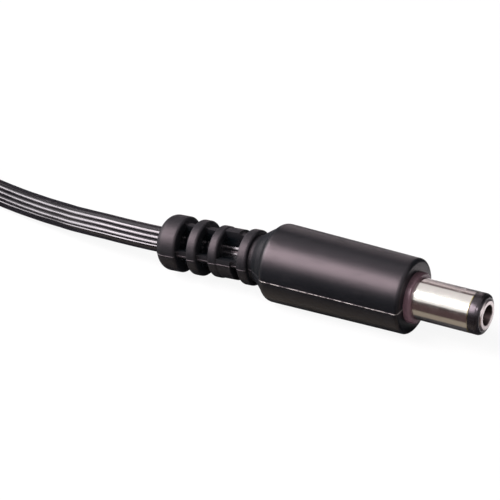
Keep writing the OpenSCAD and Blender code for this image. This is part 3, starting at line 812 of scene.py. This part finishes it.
# ---- insulating bush ----
# Black moulded bush: its nose closes the tip of the sleeve and its tube lines it.
bush_black = Finish("bush_black", Specular_IOR_Level=0.6, Specular_Tint=(1, 0.86, 0.97, 1))
place = bush_black.millimetres()
grain = bush_black.noise(place, 8, 3)
bush_black.feed(
    Base_Color=bush_black.blend(grain, (0.004, 0.004, 0.0045, 1), (0.008, 0.0075, 0.008, 1)),
    Roughness=0.2 + grain * 0.14,
    Normal=bush_black.bump(grain, 0.005, 0.5))
bush = skin("tip_insulator_moulded", turned(eased([
    (9.3, 2.3), (9.1, 2.63), (8.8, 2.75), (7.9, 2.75), (7.9, 2.35), (-3.7, 2.35), (-3.7, 0.8),
    (-1.1, 0.8), (-1.1, 1.5), (9.0, 1.5), (9.0, 2.05), (9.3, 2.05)], 0.07)),
    bush_black.material, looped=True)
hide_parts("tip_insulator")

# ---- centre contact ----
# A turned and plated socket: a flared rim on the nose, a bore, and a stem riveted behind.
socket_nickel = Finish("socket_nickel", Metallic=1.0)
place = socket_nickel.millimetres()
dull = socket_nickel.noise(place, 3, 4, 0.6)
x, y, z = socket_nickel.axes(place)
from_axis = (y * y + z * z) ** 0.5
# The drilled bore and its flare are painted nearly black and made rougher: painted shade standing
# in for the shade that falls inside the hole
painted_bore_shade = (1 - from_axis.within(1.34, 1.46)) * x.within(-0.2, 0)
socket_nickel.feed(
    Base_Color=socket_nickel.blend(painted_bore_shade, socket_nickel.blend(
        dull, (0.6, 0.53, 0.53, 1), (0.72, 0.64, 0.64, 1)), (0.05, 0.036, 0.036, 1)),
    Roughness=0.26 + painted_bore_shade * 0.2 + dull * 0.1,
    Normal=socket_nickel.bump(dull, 0.004, 0.5))
contact = skin("centre_contact_turned", turned(eased([
    (9.5, 1.4), (9.5, 1.9), (9.35, 2.05), (9.0, 2.05), (9.0, 1.5), (-1.1, 1.5), (-1.1, 0.8),
    (-4.9, 0.8), (-5.4, 1.3), (-5.4, 0.02), (0.05, 0.02), (0.05, 1.05), (8.3, 1.05)], 0.05)),
    socket_nickel.material, looped=True)
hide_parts("centre_contact")

# ---- tags, washer, solder and conductors ----
# Inside the moulding: stamped brass tags either side of a fibre washer, solder joints, and
# the tinned copper strands in their insulation.
tag_plate = Finish("tag_plate", Metallic=1.0)
rolled = tag_plate.noise(tag_plate.millimetres((0.3, 4, 4)), 1.5, 3)
tag_plate.feed(
    Base_Color=tag_plate.blend(rolled, (0.6, 0.56, 0.48, 1), (0.74, 0.71, 0.64, 1)),
    Roughness=0.25 + rolled * 0.15, Normal=tag_plate.bump(rolled, 0.003, 0.5))
washer = Finish("washer", Roughness=0.7)
fibre = washer.noise(washer.millimetres(), 6, 4)
washer.feed(Base_Color=washer.blend(fibre, (0.16, 0.07, 0.04, 1), (0.26, 0.13, 0.07, 1)),
            Normal=washer.bump(fibre, 0.02, 0.6))
solder = Finish("solder", Metallic=1.0)
frost = solder.noise(solder.millimetres(), 4, 4)
solder.feed(Base_Color=solder.blend(frost, (0.5, 0.5, 0.52, 1), (0.66, 0.66, 0.68, 1)),
            Roughness=0.25 + frost * 0.25, Normal=solder.bump(frost, 0.02, 0.6))
copper = Finish("copper", Metallic=1.0)
place = copper.millimetres()
x, y, z = copper.axes(place)
phase = x * 2.2 + y * 9 + z * 9
strands = phase.math("SINE", phase) * 0.5 + 0.5
copper.feed(Base_Color=copper.blend(strands, (0.5, 0.2, 0.1, 1), (0.72, 0.36, 0.2, 1)),
            Roughness=0.3 + strands * 0.12, Normal=copper.bump(strands, 0.04, 0.8))
core_pvc = Finish("core_pvc")
place = core_pvc.millimetres()
grain = core_pvc.noise(place, 7, 3)
core_pvc.feed(Base_Color=core_pvc.blend(grain, (0.012, 0.012, 0.013, 1), (0.02, 0.02, 0.021, 1)),
              Roughness=0.34 + grain * 0.1, Normal=core_pvc.bump(grain, 0.008, 0.5))
hidden = {"sleeve_tag": tag_plate, "centre_tag": tag_plate, "rear_washer": washer,
          "sleeve_solder": solder, "centre_solder": solder, "sleeve_strands": copper,
          "centre_strands": copper, "sleeve_core": core_pvc, "centre_core": core_pvc}
for name, finish in hidden.items():
    nodes[name].data.materials.clear()
    nodes[name].data.materials.append(finish.material)
